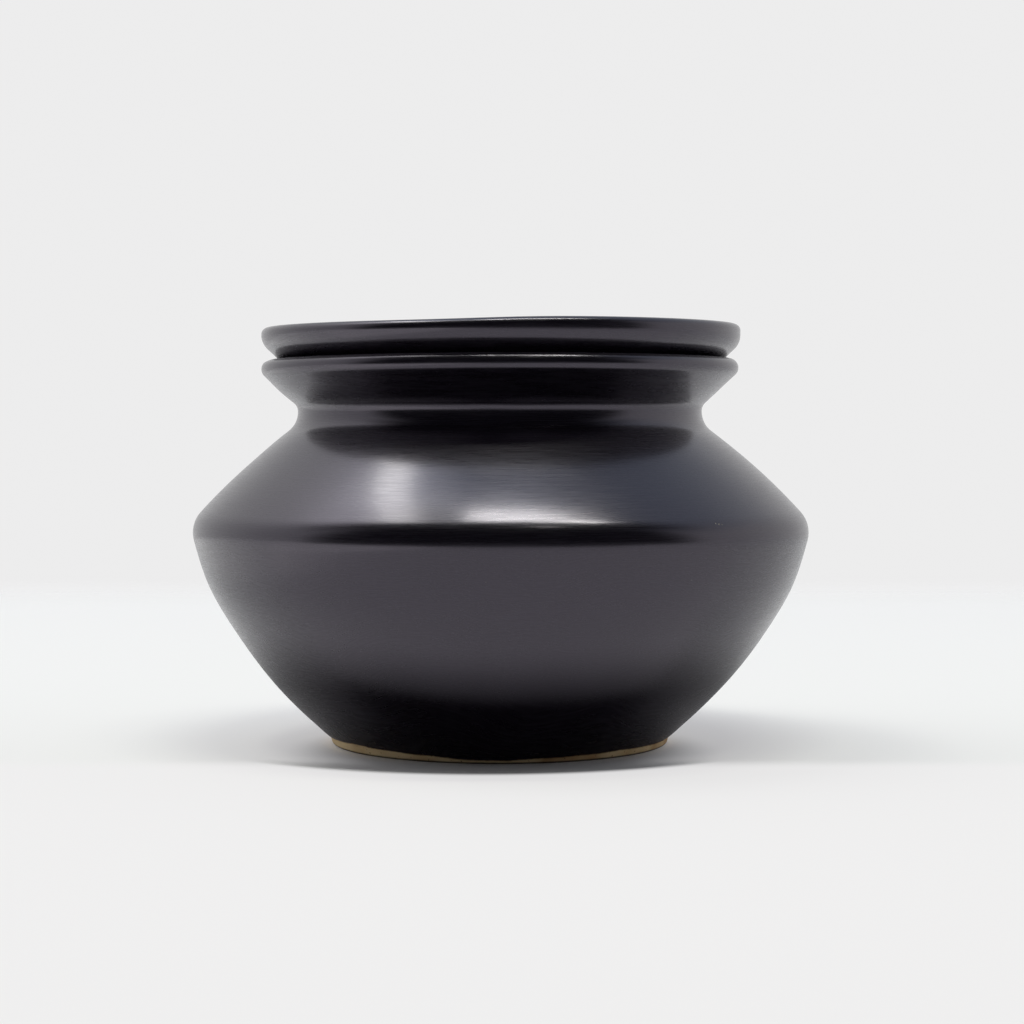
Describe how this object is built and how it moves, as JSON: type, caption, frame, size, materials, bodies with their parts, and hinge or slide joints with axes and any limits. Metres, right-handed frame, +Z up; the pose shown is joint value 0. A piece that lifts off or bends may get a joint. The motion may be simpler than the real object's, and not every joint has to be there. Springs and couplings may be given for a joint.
{
  "type": "lidded pot",
  "caption": "Squat stoneware pot with a sharp belly edge, narrow neck, flared lip and low foot ring, closed by a dished lid that nests in the mouth and lifts off by its rim.",
  "frame": {"origin": "centre of the foot ring, on the surface that the pot stands on", "axes": "+Z up along the axis that the pot and its lid are turned about; -Y faces the picture's camera; the pot has no front of its own"},
  "size_m": [0.16, 0.16, 0.1085],
  "materials": {
    "black_glaze": "satin black glaze with fine turning and brush streaks and a few pinholes",
    "bare_clay": "unglazed buff stoneware, matt and slightly gritty"
  },
  "bodies": {
    "vessel": {"pot_body": "black_glaze", "foot_ring": "bare_clay"},
    "lid": {"lid": "black_glaze"}
  },
  "joints": [
    {"name": "lid_lift", "type": "slide", "parent": "vessel", "child": "lid", "axis": [0, 0, 1], "range_m": [0, 0.08]}
  ]
}
